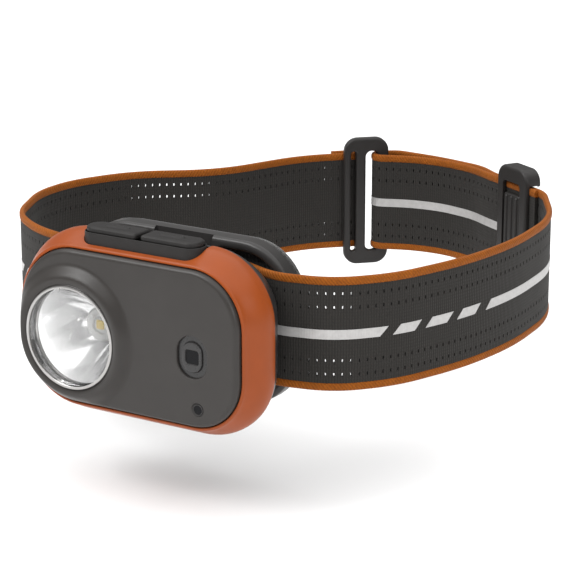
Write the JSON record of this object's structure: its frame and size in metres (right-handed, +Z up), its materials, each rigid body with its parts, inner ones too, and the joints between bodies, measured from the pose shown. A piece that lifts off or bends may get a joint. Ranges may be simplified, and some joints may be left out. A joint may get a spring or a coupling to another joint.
{
  "type": "headlamp",
  "caption": "Headlamp: tilting oval lamp with round reflector lens and push keys, on a cradle with forehead pad and adjustable elastic headband.",
  "frame": {"origin": "middle of the forehead pad's back face, at the height of the headband's middle line", "axes": "+X towards the wearer's left, -Y the way the beam points, +Z up when worn"},
  "size_m": [0.1408, 0.1625, 0.0512],
  "materials": {
    "shell": "satin dark grey",
    "orange_band": "satin orange",
    "cover_plastic": "satin black",
    "rim_metal": "satin grey",
    "clear_lens": "clear polycarbonate",
    "reflector_chrome": "mirror",
    "white_plastic": "matte white",
    "led_phosphor": "yellow phosphor",
    "board_aluminium": "plain",
    "board_green": "solder mask",
    "bezel_black": "gloss black",
    "smoked_window": "smoked",
    "seal_rubber": "matte",
    "key_rubber": "matte",
    "cell_wrap": "shrink wrap",
    "steel": "plain",
    "cradle_plastic": "satin mid grey",
    "pad_foam": "fabric-faced foam",
    "webbing": "woven elastic with orange edges",
    "buckle_plastic": "satin black"
  },
  "bodies": {
    "cradle": {"cradle_frame": "cradle_plastic", "forehead_pad": "pad_foam", "headband": "webbing", "strap_loop": "buckle_plastic", "strap_slider": "buckle_plastic"},
    "lamp": {"front_shell": "shell", "housing_band": "orange_band", "rear_cover": "cover_plastic", "lens_rim": "rim_metal", "main_lens": "clear_lens", "reflector": "reflector_chrome", "led_centring_ring": "white_plastic", "main_led": "led_phosphor", "led_board": "board_aluminium", "flood_bezel": "bezel_black", "flood_window": "smoked_window", "flood_led": "led_phosphor", "optics_board": "board_green", "sensor_window": "smoked_window", "light_sensor": "bezel_black", "front_seal": "seal_rubber", "rear_seal": "seal_rubber", "key_seat": "key_rubber", "left_switch": "bezel_black", "right_switch": "bezel_black", "control_board": "board_green", "battery_pack": "cell_wrap", "charging_board": "board_green", "usb_socket": "steel", "cover_screws": "steel", "tilt_pin": "steel"},
    "left_key": {"left_key": "key_rubber"},
    "right_key": {"right_key": "key_rubber"},
    "port_cover": {"port_cover": "key_rubber"}
  },
  "joints": [
    {"name": "lamp_tilt", "type": "hinge", "parent": "cradle", "child": "lamp", "pos_m": [0, -0.0088, -0.0155], "axis": [1, 0, 0], "range_deg": [0, 40]},
    {"name": "left_key_press", "type": "slide", "parent": "lamp", "child": "left_key", "axis": [0, 0, -1], "range_m": [0, 0.0007], "stiffness_N_per_m": 500},
    {"name": "right_key_press", "type": "slide", "parent": "lamp", "child": "right_key", "axis": [0, 0, -1], "range_m": [0, 0.0007], "stiffness_N_per_m": 500},
    {"name": "port_cover_swing", "type": "hinge", "parent": "lamp", "child": "port_cover", "pos_m": [-0.03332, -0.01545, -0.00125], "axis": [0, 0, -1], "range_deg": [0, 85]}
  ]
}
